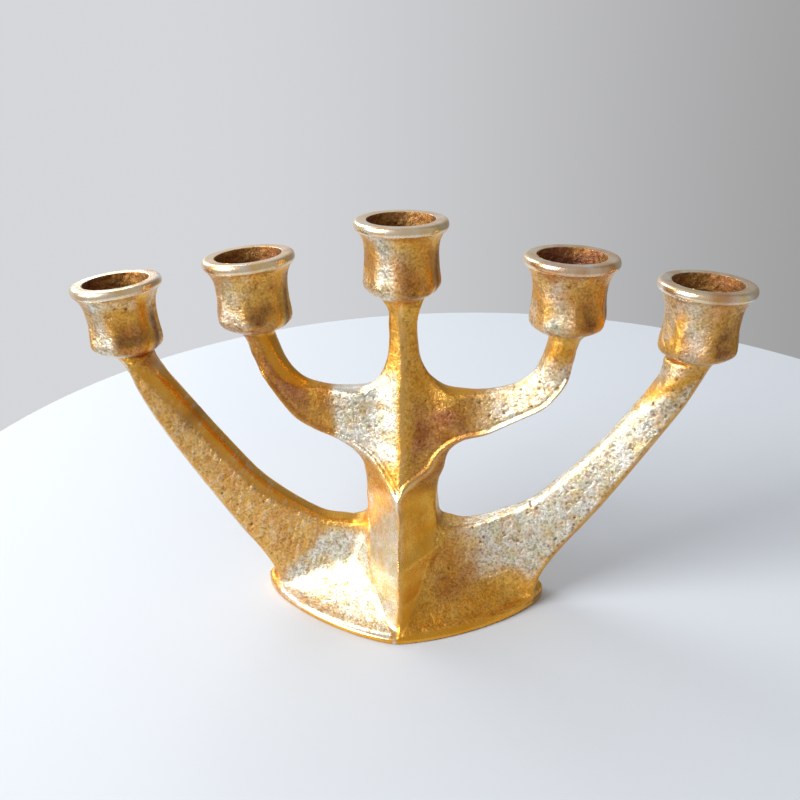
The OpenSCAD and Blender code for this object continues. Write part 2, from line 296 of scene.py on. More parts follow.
def half_depth(x, z, top, under, lower):
    """Half the body's depth behind each point of its outline, its smooth places, its polished
    lines, and how far the point is from the lower arms' outer edge.

    top, under and lower are the distances to the three runs of the outline. Each arm is a
    wedge, thin along its top edge and deep along its lower edge, with a smooth bevel along
    the top edge that is wider on the left arms."""
    side = np.abs(x)
    ridge_r = 0.4 + 5 * ramp(13 - z, 0, 11)
    away = np.hypot(x - ridge_x(z), ridge_r) - ridge_r
    ridge = np.interp(z, *smooth_run(RIDGE).T)
    shield, upper_bevel = shield_depth(x, z, top, under, away, ridge)
    # The flank: the underside of the upper arms, running on down the sides of the waist
    slope = FLANK_SLOPE + 0.25 * ramp(50 - z, 0, 8)
    raised = np.maximum(ramp(side, 11, 34), 0.95 * ramp(x, 1, 12) * ramp(z, 50, 62))
    flank = FLANK_EDGE + (upper_deep(side) - 0.4 - FLANK_EDGE) * raised + slope * under
    crease = (flank - shield) / slope
    bead = bump_at(crease, 0.8, 0.9)
    groove = bump_at(crease, 2.5, 0.55)
    upper = smooth_min(shield + BEAD * bead - 0.45 * groove, flank, 0.8)
    low_plate, lower_bevel = low_plate_depth(x, under, lower)
    low = low_depth(x, z, low_plate, flank, away, ridge)
    is_low = ramp(gap_height(x) + 2 - z, 0, 4)
    depth = upper * (1 - is_low) + low * is_low
    # Bevel along the outer edge of the lower arms
    no_bevel = 14 * (1 - ramp(side, 42, 52) * is_low)
    outer = lower_deep(side) - 2.4 * ramp(side, 46, 66) + lower + no_bevel
    outer_bevel = ramp(depth - outer, 0, 0.7) * ramp(side, 48, 62)
    depth = smooth_min(depth, outer, 0.7)
    oval = rounded_end(depth, under, lower, LOWER_END, ramp(z, 74, 104))
    depth = np.where(side > 74, oval, depth)
    on_bead = bead * ramp(shield - flank + 4, 0, 2) * (1 - is_low)
    ridge_line = bump_at(x - ridge_x(z), 0, 0.9) * ramp(z, 2, 6)
    smooth = np.maximum(upper_bevel * (1 - is_low), lower_bevel * is_low)
    smooth = np.maximum(smooth, np.maximum(0.9 * on_bead, 0.6 * outer_bevel))
    smooth = np.maximum(smooth, np.maximum(0.75 * on_flank(x, z), 0.9 * ridge_line))
    polished = np.maximum(0.45 * on_bead, 0.35 * ridge_line)
    polished = np.maximum(polished, 0.6 * outer_bevel * is_low * ramp(-x, 40, 60))
    return depth, np.clip(smooth, 0, 1), polished, np.where(is_low > 0.5, lower, 9)


def build_field():
    """The body's signed field on a grid, and the other results of half_depth as front-view maps."""
    xs, ys, zs = (np.arange(low, high + CELL, CELL) for low, high in GRID)
    x, z = np.meshgrid(xs, zs, indexing="ij")
    left, right = [[smooth_run(run) for run in side] for side in (LEFT_RUNS, RIGHT_RUNS)]
    outline = np.vstack([*left, *[run[::-1] for run in right[::-1]]])
    closed = np.vstack([outline, outline[:1]])
    flat = distance_to(closed, x, z) * np.where(inside(outline, x, z), -1, 1)
    top, under, lower = [
        np.minimum(distance_to(a, x, z), distance_to(b, x, z)) for a, b in zip(left, right)]
    depth, *maps = half_depth(x, z, top, under, lower)
    gx, gz = np.gradient(depth, CELL)
    steep = np.sqrt(1 + np.minimum(gx**2 + gz**2, 9))
    y = ys[None, :, None]
    body = ((np.abs(y) - depth[:, None, :]) / steep[:, None, :]).astype(np.float32)
    body = smooth_max(body, flat[:, None, :].astype(np.float32), EDGE_ROUND)
    add_collars(body, xs, y, zs)
    add_foot(body, xs, y, zs)
    return (xs, ys, zs), body.astype(np.float32), maps


def add_collars(body, xs, y, zs):
    """Adds to the field the collar below each cup, which flares up to the cup's seat."""
    for cx, seat, _ in CUPS.values():
        i = np.searchsorted(xs, [cx - 16, cx + 16])
        k = np.searchsorted(zs, [seat - 12, seat + 5])
        near = (slice(i[0], i[1]), slice(None), slice(k[0], k[1]))
        radius = np.sqrt((xs[i[0]:i[1], None, None] - cx) ** 2 + y**2)
        up = zs[None, None, k[0]:k[1]] - seat
        rise = np.clip(1 + up / COLLAR_H, 0, 1)
        flare = SEAT_R * (0.62 * np.sqrt(rise) + 0.38 * rise**5)
        collar = np.maximum(np.maximum(radius - flare, -COLLAR_H - up), up - 2)
        body[near] = smooth_min(body[near], collar, 2.2)


def add_foot(body, xs, y, zs):
    """Adds the foot plate to the field, with the recess for the felt pad and the counterbores
    of the two foot screws."""
    low = slice(0, np.searchsorted(zs, 14))
    x3, zl = xs[:, None, None], zs[None, None, low]
    u, v = np.abs(x3 - FOOT_X) / FOOT_HALF_W, np.abs(y) / FOOT_HALF_D
    level = u**FOOT_POWER + v**FOOT_POWER
    grow_x = u ** (FOOT_POWER - 1) / FOOT_HALF_W
    grow_y = v ** (FOOT_POWER - 1) / FOOT_HALF_D
    plan = (level - 1) / np.maximum(FOOT_POWER * np.hypot(grow_x, grow_y), 0.012) - 0.5
    plate = smooth_max(plan + 0 * zl, zl - FOOT_EDGE - FOOT_RISE * np.clip(u, 0, 1) ** 5, 1.8)
    foot = smooth_min(body[:, :, low], plate, 2.2)
    foot = smooth_max(foot, FOOT_LOW - 0.3 - zl, 0.5)
    foot = np.maximum(foot, -np.maximum(plan + PAD_BORDER, zl - PAD_TOP))
    for cy in (-SCREW_Y, SCREW_Y):
        bore = np.hypot(x3, y - cy) - SCREW_HEAD_R
        foot = np.maximum(foot, -np.maximum(bore, zl - PAD_TOP - SCREW_HEAD_H))
    body[:, :, low] = foot


def sample(field, axes, points):
    """Trilinear value and gradient of the field at points."""
    origin = np.array([a[0] for a in axes])
    g = (points - origin) / CELL
    i = np.clip(np.floor(g).astype(int), 0, np.array(field.shape) - 2)
    fx, fy, fz = (g - i).T
    c = {(a, b, d): field[i[:, 0] + a, i[:, 1] + b, i[:, 2] + d]
         for a in (0, 1) for b in (0, 1) for d in (0, 1)}

    def mix(t, low, high):
        return low + (high - low) * t

    def plane(f, g, values):
        return mix(f, mix(g, values[0], values[1]), mix(g, values[2], values[3]))

    pairs = ((0, 0), (0, 1), (1, 0), (1, 1))
    near, far = (plane(fy, fz, [c[k, a, b] for a, b in pairs]) for k in (0, 1))
    value = mix(fx, near, far)
    grad = np.empty_like(points)
    grad[:, 0] = plane(fy, fz, [c[1, a, b] - c[0, a, b] for a, b in pairs])
    grad[:, 1] = plane(fx, fz, [c[a, 1, b] - c[a, 0, b] for a, b in pairs])
    grad[:, 2] = plane(fx, fy, [c[a, b, 1] - c[a, b, 0] for a, b in pairs])
    return value, grad / CELL


def sample_map(values, axes, points):
    """A front-view map's value at each point."""
    g = (points[:, [0, 2]] - (axes[0][0], axes[2][0])) / CELL
    i, k = np.clip(np.floor(g).astype(int), 0, np.array(values.shape) - 2).T
    fx, fz = (g - np.stack([i, k], 1)).T
    near = values[i, k] * (1 - fx) + values[i + 1, k] * fx
    far = values[i, k + 1] * (1 - fx) + values[i + 1, k + 1] * fx
    return near * (1 - fz) + far * fz


def surface_nets(axes, field):
    """Vertices and quads of the field's zero surface."""
    neg = field < 0
    shape = np.array(field.shape)
    total = np.zeros(tuple(shape - 1) + (3,), np.float32)
    count = np.zeros(tuple(shape - 1), np.int16)
    crossings = []
    for axis in range(3):
        lo = [slice(None)] * 3
        hi = [slice(None)] * 3
        lo[axis], hi[axis] = slice(0, -1), slice(1, None)
        changed = np.argwhere(neg[tuple(lo)] != neg[tuple(hi)])
        step = np.eye(3, dtype=int)[axis]
        a = field[tuple(changed.T)]
        b = field[tuple((changed + step).T)]
        point = changed + step * (a / (a - b))[:, None]
        o1, o2 = [k for k in range(3) if k != axis]
        cells = []
        for d1, d2 in ((1, 1), (0, 1), (0, 0), (1, 0)):
            c = changed.copy()
            c[:, o1] -= d1
            c[:, o2] -= d2
            np.add.at(total, tuple(c.T), point)
            np.add.at(count, tuple(c.T), 1)
            cells.append(c)
        crossings.append((cells, (a < 0) ^ (axis == 1)))
    used = np.argwhere(count > 0)
    index = np.full(count.shape, -1, np.int64)
    index[tuple(used.T)] = np.arange(len(used))
    verts = total[tuple(used.T)] / count[tuple(used.T)][:, None] * CELL + np.array([a[0] for a in axes])
    quads = []
    for cells, outward in crossings:
        q = np.stack([index[tuple(c.T)] for c in cells], 1)
        q[~outward] = q[~outward][:, ::-1]
        quads.append(q)
    return verts, np.vstack(quads)


def settle(axes, field, verts, rounds=3):
    """Moves vertices onto the zero surface."""
    for _ in range(rounds):
        value, grad = sample(field, axes, verts)
        size = np.maximum((grad**2).sum(1), 0.05)
        move = -(value / size)[:, None] * grad
        verts = verts + np.clip(move, -0.5 * CELL, 0.5 * CELL)
    return verts


def vertex_normals(verts, quads):
    """Each vertex's unit normal."""
    a, b, c, d = (verts[quads[:, k]] for k in range(4))
    n = np.cross(c - a, d - b)
    out = np.zeros_like(verts)
    for k in range(4):
        np.add.at(out, quads[:, k], n)
    return out / np.maximum(np.linalg.norm(out, axis=1), 1e-9)[:, None]


def bulge(verts, quads, normals, rounds):
    """How far each vertex stands out of its neighbours' mean, blurred over the mesh."""
    a = np.concatenate([quads[:, k] for k in range(4)])
    b = np.concatenate([quads[:, (k + 1) % 4] for k in range(4)])
    links = np.maximum(np.bincount(a, minlength=len(verts)), 1)

    def around(values):
        return np.bincount(a, weights=values[b], minlength=len(verts)) / links

    mean = np.stack([around(verts[:, k]) for k in range(3)], 1)
    out = ((verts - mean) * normals).sum(1)
    for _ in range(rounds):
        out = 0.5 * out + 0.5 * around(out)
    return out


# ---- cast surface

def lattice(i, j, k, seed):
    """A repeatable number from 0 to 1 for each whole-numbered place."""
    h = (i * 374761393 + j * 668265263 + k * 1440662683 + seed * 974634777) & 0xFFFFFFFF
    h = ((h ^ (h >> 13)) * 1274126177) & 0xFFFFFFFF
    h = ((h ^ (h >> 15)) * 2246822519) & 0xFFFFFFFF
    return ((h ^ (h >> 16)) & 0xFFFF) / 65535.0


def value_noise(points, size, seed):
    """Smooth noise from -1 to 1 whose lumps are about size across."""
    g = points / size + 100.5
    i = np.floor(g).astype(np.int64)
    f = g - i
    f = f * f * (3 - 2 * f)
    out = 0
    for a in (0, 1):
        for b in (0, 1):
            for c in (0, 1):
                weight = (f[:, 0] if a else 1 - f[:, 0]) * (f[:, 1] if b else 1 - f[:, 1])
                weight = weight * (f[:, 2] if c else 1 - f[:, 2])
                out = out + weight * lattice(i[:, 0] + a, i[:, 1] + b, i[:, 2] + c, seed)
    return 2 * out - 1


def pits(points, spacing, radius, share, seed):
    """1 at the middle of scattered pits and 0 away from them."""
    g = points / spacing + 100.5
    i = np.floor(g).astype(np.int64)
    best = np.zeros(len(points))
    for a in (-1, 0, 1):
        for b in (-1, 0, 1):
            for c in (-1, 0, 1):
                cell = i + (a, b, c)
                place = [lattice(*cell.T, seed + k) for k in range(4)]
                middle = cell + np.stack(place[:3], 1)
                r = np.linalg.norm(g - middle, axis=1) * spacing / (radius * (0.6 + place[3]))
                there = lattice(*cell.T, seed + 9) < share
                best = np.maximum(best, np.where(there, 1 - ramp(r, 0.2, 1), 0))
    return best


def strokes(points, direction, seed):
    """Long shallow tool marks along a direction (x, z) in the front view."""
    dx, dz = direction
    along = (points[:, 0] * dx + points[:, 2] * dz) / 11
    across = points[:, 0] * dz - points[:, 2] * dx
    return value_noise(np.stack([along, across, points[:, 1] / 3], 1), 0.85, seed)


def chasing(points):
    """The crossed strokes of the chaser's tool on the left lower arm, from -2 to 2."""
    x, z = points[:, 0], points[:, 2]
    place = ramp(-x, 22, 42) * ramp(gap_height(x) - z, 0, 3)
    return place * (strokes(points, (0.25, 0.97), 5) + strokes(points, (0.83, 0.55), 6))


def cast_relief(points, normals, smooth):
    """Depth of the cast surface at each point, and where its pits are."""
    x, z = points[:, 0], points[:, 2]
    rough = 1 - 0.9 * smooth
    facing = ramp(np.abs(normals[:, 1]), 0.5, 0.85)
    granular = 0.55 + 0.45 * ramp(value_noise(points, 22, 41), -0.4, 0.4)
    out = 0.12 * value_noise(points, 15, 1) + 0.05 * value_noise(points, 7, 2) * rough
    out += rough * (0.035 * value_noise(points, 3.1, 3) + granular * 0.05 * value_noise(points, 1.3, 4))
    out += 0.14 * facing * rough * chasing(points)
    web = ramp(12 - z, 0, 6) * ramp(np.abs(x), 12, 22) * rough
    out += 0.10 * web * value_noise(points * (1, 1, 0.6), 2.0, 7)
    dots = np.maximum(pits(points, 3.4, 0.62, 0.5, 11), 0.8 * pits(points, 6.5, 0.95, 0.35, 31))
    dots = dots * rough * granular * (0.45 + 0.55 * facing)
    pocked = ramp(x, 16, 30) * ramp(108 - z, 0, 10) * ramp(z, 14, 26) * facing * rough
    dots = np.maximum(dots, pocked * pits(points, 1.9, 0.6, 0.6, 51))
    return out - 0.24 * dots, dots


# The bent scratch on the right lower arm's top edge and the nick in the stem, in (x, z)
SCRATCH = [(46.8, 46.2), (47.5, 44.3), (48.3, 42.8)]
NICK = [(0.4, 107.4), (0.5, 106.8)]


def gouge(points, start, end, width):
    """1 along a scratch on the front, from start to end in (x, z)."""
    a, b = np.array(start, float), np.array(end, float)
    e = b - a
    q = points[:, [0, 2]] - a
    t = np.clip((q @ e) / (e @ e), 0, 1)
    gap = np.linalg.norm(q - t[:, None] * e, axis=1)
    return np.where(points[:, 1] < 0, bump_at(gap, 0, width), 0)


# ---- meshes

def add_object(name, data):
    """A new object in the scene."""
    obj = bpy.data.objects.new(name, data)
    bpy.context.scene.collection.objects.link(obj)
    return obj


def make_mesh(name, verts, faces, masks):
    """A Blender object from points in millimetres, with four masks for each vertex as a colour."""
    mesh = bpy.data.meshes.new(name)
    verts = np.asarray(verts, float) * MM
    faces = np.asarray(faces)
    mesh.vertices.add(len(verts))
    mesh.vertices.foreach_set("co", verts.ravel())
    mesh.loops.add(faces.size)
    mesh.loops.foreach_set("vertex_index", faces.ravel())
    mesh.polygons.add(len(faces))
    width = faces.shape[1]
    mesh.polygons.foreach_set("loop_start", np.arange(len(faces)) * width)
    mesh.update(calc_edges=True)
    layer = mesh.attributes.new("finish_and_painted_light", "FLOAT_COLOR", "POINT")
    layer.data.foreach_set("color", np.asarray(masks, float).ravel())
    mesh.shade_smooth()
    return add_object(name, mesh)


def close_holes(obj):
    """Fills an object's open rings and turns its faces outwards."""
    bm = bmesh.new()
    bm.from_mesh(obj.data)
    bmesh.ops.holes_fill(bm, edges=[e for e in bm.edges if e.is_boundary])
    bmesh.ops.recalc_face_normals(bm, faces=bm.faces[:])
    bm.to_mesh(obj.data)
    bm.free()
    return obj


def ring_faces(rings, turn):
    """The faces between rings of turn points each."""
    i, j = np.meshgrid(np.arange(rings - 1) * turn, np.arange(turn), indexing="ij")
    k = (j + 1) % turn
    return np.stack([i + j, i + k, i + turn + k, i + turn + j], -1).reshape(-1, 4)


def cut_piece(name, whole, planes, keep):
    """The part of the whole mesh that keep() picks, cut flat by planes and capped.

    A plane is (point, normal): the side that the normal points to is cut away."""
    verts, quads, masks = whole
    faces = quads[keep(verts[quads].mean(1))]
    used, faces = np.unique(faces, return_inverse=True)
    obj = make_mesh(name, verts[used], faces.reshape(-1, 4), masks[used])
    bm = bmesh.new()
    bm.from_mesh(obj.data)
    for point, normal in planes:
        geom = bm.verts[:] + bm.edges[:] + bm.faces[:]
        cut = bmesh.ops.bisect_plane(bm, geom=geom, dist=1e-7, plane_co=Vector(point) * MM,
                                     plane_no=normal, clear_outer=True)
        rim = [e for e in cut["geom_cut"] if isinstance(e, bmesh.types.BMEdge)]
        bmesh.ops.triangle_fill(bm, edges=rim, use_beauty=True)
        for e in rim:
            if e.is_valid:
                e.smooth = False
    bmesh.ops.recalc_face_normals(bm, faces=bm.faces[:])
    bm.to_mesh(obj.data)
    bm.free()
    return obj


def sculpt_body():
    """The body's mesh with its cast surface, and the masks that its material uses."""
    axes, field, maps = build_field()
    verts, quads = surface_nets(axes, field)
    verts = settle(axes, field, verts)
    normals = vertex_normals(verts, quads)
    edge = ramp(bulge(verts, quads, normals, 2) / CELL, 0.02, 0.09)
    # The right arms' edges are less worn
    edge *= 1 - 0.8 * ramp(verts[:, 0], 16, 28) * ramp(verts[:, 2], 8, 12)
    rim = ramp(3.2 - verts[:, 2], 0, 0.8)
    smooth, polished, outer_gap = (sample_map(values, axes, verts) for values in maps)
    smooth = np.maximum(smooth, np.maximum(0.85 * edge, rim))
    relief, dots = cast_relief(verts, normals, smooth)
    scratch = gouge(verts, *SCRATCH[:2], 0.4) + gouge(verts, *SCRATCH[1:], 0.4)
    scratch += gouge(verts, *NICK, 0.6)
    under = ramp(1.6 - verts[:, 2], 0, 0.3)
    relief = (relief - 0.25 * scratch) * (1 - under)
    verts = verts + normals * relief[:, None]
    # Two smoky spots on the left arms
    smoky = 0.5 * bump_at(np.hypot(verts[:, 0] + 81, verts[:, 2] - 77), 0, 4)
    smoky += 0.35 * bump_at(np.hypot(verts[:, 0] + 27, (verts[:, 2] - 84) * 1.6), 0, 6)
    hollow_and_shade = np.clip(dots + 0.6 * scratch + ramp(-relief, 0.14, 0.4) * (1 - smooth) + smoky, 0, 1)
    # Pale: painted highlights and window reflections, chasing marks and polished lines
    rubbed_and_highlight = np.maximum(rubbed_and_highlight_at(verts, outer_gap), polished)
    return verts, quads, np.stack([smooth, patina_and_shade_at(verts), hollow_and_shade, rubbed_and_highlight], 1)


def patina_and_shade_at(points):
    """Where the bronze is darker and redder: the left arms, the right web, and painted shade right of the
    ridge.
    """
    x, z = points[:, 0], points[:, 2]
    # Painted shade right of the ridge
    shield = ramp(x, 1, 6) * ramp(34 - x, 0, 16) * ramp(z, 54, 62) * ramp(94 - z, 0, 14)
    left = ramp(-x, 24, 32) * ramp(z - gap_height(x), 0, 6)
    arm = (0.06 + 0.42 * ramp(-chasing(points), 0, 0.8)) * ramp(-x, 35, 60) * ramp(gap_height(x) - z, 0, 6)
    web = 0.9 * ramp(x, 9, 15) * ramp(36 - x, 0, 16) * ramp(30 - z, 0, 10) * ramp(z, 5, 14)
    return np.clip(shield + left + arm + web, 0, 1)


def rubbed_and_highlight_at(points, outer_gap):
    """Painted highlights left of the ridge and on the left flank, painted window reflections on the right
    arms and left web, and pale chasing marks.
    """
    x, z = points[:, 0], points[:, 2]
    wander = 3 * value_noise(points, 9, 61)
    # Painted highlight left of the ridge
    shield = ramp(-x, 1, 3) * ramp(29 + x + 0.5 * wander, 0, 4) * ramp(z, 60, 68) * ramp(100 - z, 0, 8)
    # Painted reflection of the window on the right upper arm, and below on the right lower arm
    upper = 0.8 * ramp(x + wander, 19, 38) * ramp(z - gap_height(x), 0, 6) * ramp(107 - z, 0, 9)
    lower = ramp(x + wander, 15, 33) * ramp(gap_height(x) - z, 0, 6)
    lower = lower * ramp(z + wander, 10, 20) * ramp(104 - z, 0, 8)
    # Painted reflection of the window on the left web
    web = ramp(-x - flank_reach(x, z), -1, 1) * ramp(47 - 0.62 * (z - 11) + x + wander, -2, 5)
    web = web * ramp(-x, 0, 1) * ramp(34 - z, 0, 8) * ramp(z, 1, 3)
    lower = lower * ramp(outer_gap + 0.3 * wander, 1.5, 4)
    # Painted highlight on the left flank
    flank = 0.7 * ramp(-x, 0, 1.5) * on_flank(x, z)
    marks = 0.32 * ramp(chasing(points), 0, 1)
    marks += 0.12 * ramp(-x, 26, 40) * ramp(gap_height(x) - z, 0, 6)
    return np.clip(shield + upper + lower + web + flank + marks, 0, 1)


whole = sculpt_body()


def lower_region(side):
    """Picks the lower arm's faces on one side."""
    def keep(c):
        out = c[:, 0] * side > FLANK_X - SEAM_MARGIN
        return out & (c[:, 2] < gap_height(c[:, 0])) & (c[:, 2] > FOOT_TOP - SEAM_MARGIN)
    return keep


def upper_region(side):
    """Picks the upper arm's faces on one side."""
    return lambda c: (c[:, 0] * side > FLANK_X - SEAM_MARGIN) & (c[:, 2] > gap_height(c[:, 0]))


ABOVE_FOOT = ((0, 0, FOOT_TOP), (0, 0, -1))
pieces = {}
pieces["foot"] = cut_piece("foot_casting", whole, [((0, 0, FOOT_TOP), (0, 0, 1))],
                           lambda c: c[:, 2] < FOOT_TOP + SEAM_MARGIN)
pieces["pillar"] = cut_piece(
    "pillar_casting", whole,
    [ABOVE_FOOT, ((FLANK_X, 0, 0), (1, 0, 0)), ((-FLANK_X, 0, 0), (-1, 0, 0)),
     ((0, 0, CUPS["centre"][1]), (0, 0, 1))],
    lambda c: (np.abs(c[:, 0]) < FLANK_X + SEAM_MARGIN) & (c[:, 2] > FOOT_TOP - SEAM_MARGIN))
for word, side in (("left", -1), ("right", 1)):
    root = ((side * FLANK_X, 0, 0), (-side, 0, 0))
    lower_seat = ((0, 0, CUPS["outer_" + word][1]), (0, 0, 1))
    upper_seat = ((0, 0, CUPS["inner_" + word][1]), (0, 0, 1))
    pieces["lower_arm_" + word] = cut_piece(
        "lower_arm_casting_" + word, whole, [root, ABOVE_FOOT, lower_seat], lower_region(side))
    pieces["upper_arm_" + word] = cut_piece(
        "upper_arm_casting_" + word, whole, [root, upper_seat], upper_region(side))

# ---- cups

# Points round a cup and along each stretch of its profile (radius, height)
CUP_TURN = 240
CUP_STEPS = 9
CUP_OUTSIDE = [(5.4, 0), (7.2, 0), (9.4, 0.9), (11.6, 2.0), (13.1, 3.4), (13.8, 5.0), (13.75, 7.0),
               (13.4, 9.7), (13.15, 12.5), (13.0, 15.5), (13.1, 18.3), (13.5, 20.5), (14.3, 22.4),
               (15.3, 23.7)]
CUP_RIM = [(16.0, 24.4), (16.35, 25.3), (16.3, 26.2), (15.95, 27.0), (15.2, 27.45)]
CUP_INSIDE = [(14.0, 27.5), (13.0, 27.45), (12.2, 27.4), (11.85, 27.2), (11.7, 26.6), (11.4, 24.5),
              (11.1, 21.5), (11, 17), (11, 12), (10.95, 8), (10.5, 6.7), (9.5, 6.3), (7, 6.3), (4, 6.3)]
# Where the painted light on each cup sits, as angles in radians from the right, going round by the back:
# a painted highlight, painted shade low on the front, a painted orange reflection and painted shade on the
# right
PALE_AT, DARK_AT, REFLECTION_AT, SHADED_AT = 4.35, 5.2, 5.78, 6.12


def cup_facets(name, angle, height):
    """How far in the cup's hand-ground flats take its lower body, as a share of its radius."""
    rng = np.random.default_rng(CUP_NAMES.index(name) + 7)
    count = 8
    facing = np.arange(count) / count * 2 * math.pi + rng.normal(0, 0.07, count) + 0.52
    reach = 0.936 + rng.normal(0, 0.01, count)
    sway = 0.02 * np.sin(height / 2.3 + CUP_NAMES.index(name))
    turn = angle[..., None] + sway[..., None] - facing
    return smooth_min(np.min(reach / np.maximum(np.cos(turn), 0.2), axis=-1), 1.0, 0.03)


def cup_shape(name):
    """A cup's points and faces, each point's angle round the axis, and which are in the bore
    and on the rim."""
    cx, seat, top = CUPS[name]
    line = smooth_run(CUP_OUTSIDE + CUP_RIM + CUP_INSIDE, CUP_STEPS)
    first_rim = (len(CUP_OUTSIDE) - 0.4) * CUP_STEPS
    first_bore = (len(CUP_OUTSIDE + CUP_RIM) + 2.6) * CUP_STEPS
    row = np.arange(len(line))[:, None]
    angle = np.arange(CUP_TURN)[None, :] / CUP_TURN * 2 * math.pi
    r, z = line[:, :1], line[:, 1:]
    share = ramp(z, 0.5, 4) * (1 - 0.7 * ramp(z, 10, 18)) * (1 - ramp(z, 17, 22))
    share = np.where(row < first_rim, share, 0)
    flats = cup_facets(name, angle + 0 * z, z + 0 * angle)
    radius = r * (1 + share * (flats - 1))
    z = z * (top - seat) / CUP_INSIDE[0][1]
    lean, tip = (math.tan(math.radians(value)) for value in CUP_SET[name][1:])
    across, up = radius * np.cos(angle), z + 0 * radius
    tipped = up - across * tip * ramp(up, 0, 20)
    verts = np.stack([cx + across + up * lean, radius * np.sin(angle), seat + tipped], -1)
    turn = (angle + 0 * z).ravel()
    in_bore = ((row > first_bore) + 0.0 * angle).ravel()
    on_rim = ((row >= first_rim) & (row <= first_bore)).ravel().repeat(CUP_TURN)
    return verts.reshape(-1, 3), ring_faces(len(line), CUP_TURN), turn, in_bore, on_rim


def cup_painted_light(points, up, turn, in_bore, on_rim):
    """Painted light on a cup: painted shade low on its front, a painted orange reflection band beside it,
    a painted highlight on the left and painted shade down the right side. up is each point's height above
    the seat."""
    wander = 0.25 * value_noise(points, 6, 25)
    body_only = (1 - in_bore) * (1 - on_rim)
    dark = bump_at(turn + wander, DARK_AT, 0.38) * ramp(up, 1.5, 4) * ramp(17 - up, 0, 9) * body_only
    reflection_band = bump_at(turn + 0.4 * wander, REFLECTION_AT, 0.19) * body_only
    pale = bump_at(turn + wander, PALE_AT, 0.35) * body_only
    shaded = 0.7 * bump_at(turn + 0.3 * wander, SHADED_AT, 0.15) * ramp(20 - up, 0, 5) * body_only
    return dark, reflection_band, pale, shaded


def make_cup(name):
    """A turned candle cup, with hand-ground flats low down, leaning as it was set."""
    seat = CUPS[name][1]
    verts, quads, turn, in_bore, on_rim = cup_shape(name)
    normals = vertex_normals(verts, quads)
    edge = ramp(bulge(verts, quads, normals, 2), 0.004, 0.02)
    lip = ramp(3.6 - (verts[:, 2] - seat), 0, 2) * (1 - in_bore)
    smooth = np.clip(np.where(on_rim, 1.0, 0) + 0.3 * edge * (1 - in_bore) + 0.5 * lip, 0, 1)
    relief, dots = cast_relief(verts + (0, 60, 200), normals, smooth)
    gritty = in_bore * (0.16 * value_noise(verts, 1.3, 21) + 0.1 * value_noise(verts, 2.6, 22))
    relief = np.where(on_rim, 0.3 * relief, relief) + gritty
    fixed = ramp(1.0 - (verts[:, 2] - seat), 0, 0.8)
    verts = verts + normals * (relief * (1 - fixed))[:, None]
    up = verts[:, 2] - seat
    dark, reflection_band, pale, shaded = cup_painted_light(verts, up, turn, in_bore, on_rim)
    hollow_and_shade = np.clip(dots * (1 - in_bore), 0, 1)
    # Painted shade inside the bore, darker further down
    hollow_and_shade = np.maximum(hollow_and_shade, in_bore * (0.7 + 0.3 * ramp(20 - up, 0, 7)))
    # Painted shade on the dark patch low on the front and down the right side
    shade = 0.7 * dark * ramp(value_noise(verts, 3, 26), -0.7, 0.3)
    hollow_and_shade = np.maximum(hollow_and_shade, np.maximum(shade, shaded))
    # Redder patches at random, and redder painted shade in the bore and on the dark patch
    patina_and_shade = np.clip(in_bore + 0.6 * ramp(value_noise(verts, 9, 23), 0, 0.6), 0, 1)
    patina_and_shade = np.clip(patina_and_shade + 0.9 * dark, 0, 1)
    # The painted orange reflection band is drawn as bare smooth metal
    smooth = np.clip(smooth + 0.95 * reflection_band, 0, 1)
    rubbed_and_highlight = 0.5 * ramp(value_noise(verts, 8, 24), 0.1, 0.6) * (1 - in_bore)
    # The painted highlight on the left is drawn pale
    rubbed_and_highlight = np.clip((rubbed_and_highlight + 0.75 * pale) * (1 - reflection_band) * (1 - dark), 0, 1)
    rubbed_and_highlight = np.clip(rubbed_and_highlight + np.where(on_rim, 0.62, 0.5 * lip), 0, 1)
    masks = np.stack([smooth, patina_and_shade, hollow_and_shade, rubbed_and_highlight], 1)
    return close_holes(make_mesh("candle_cup_" + name, verts, quads, masks))


for name in CUP_NAMES:
    pieces["cup_" + name] = make_cup(name)


# ---- felt pad

def make_pad():
    """The felt under the foot: a soft-edged disc of the foot's outline with a matted underside."""
    rings, turn = 60, 240
    share = np.linspace(0.02, 1, rings)[:, None]
    angle = np.arange(turn)[None, :] / turn * 2 * math.pi
    cos, sin = np.cos(angle), np.sin(angle)
    x = FOOT_X + share * PAD_HALF_W * np.sign(cos) * np.abs(cos) ** (2 / FOOT_POWER)
    y = share * PAD_HALF_D * np.sign(sin) * np.abs(sin) ** (2 / FOOT_POWER)
    bottom = np.stack([x, y, 0.35 * ramp(share, 0.985, 1) + 0 * x], -1).reshape(-1, 3)
    bottom[:, 2] += 0.05 + 0.05 * value_noise(bottom, 1.4, 51) * (bottom[:, 2] < 0.3)
    top = bottom.copy()
    top[:, 2] = PAD_TOP
    verts = np.vstack([bottom, top])
    sheet = ring_faces(rings, turn)
    last = (rings - 1) * turn + np.arange(turn)
    after = np.roll(last, -1)
    wall = np.stack([last, after, after + rings * turn, last + rings * turn], -1)
    faces = np.vstack([sheet, sheet[:, ::-1] + rings * turn, wall])
    return close_holes(make_mesh("base_felt", verts, faces, np.zeros((len(verts), 4))))


# ---- materials

def join_socket(tree, socket, value):
    """Links a socket to another, or sets its value."""
    if isinstance(value, bpy.types.NodeSocket):
        tree.links.new(value, socket)
    else:
        socket.default_value = value


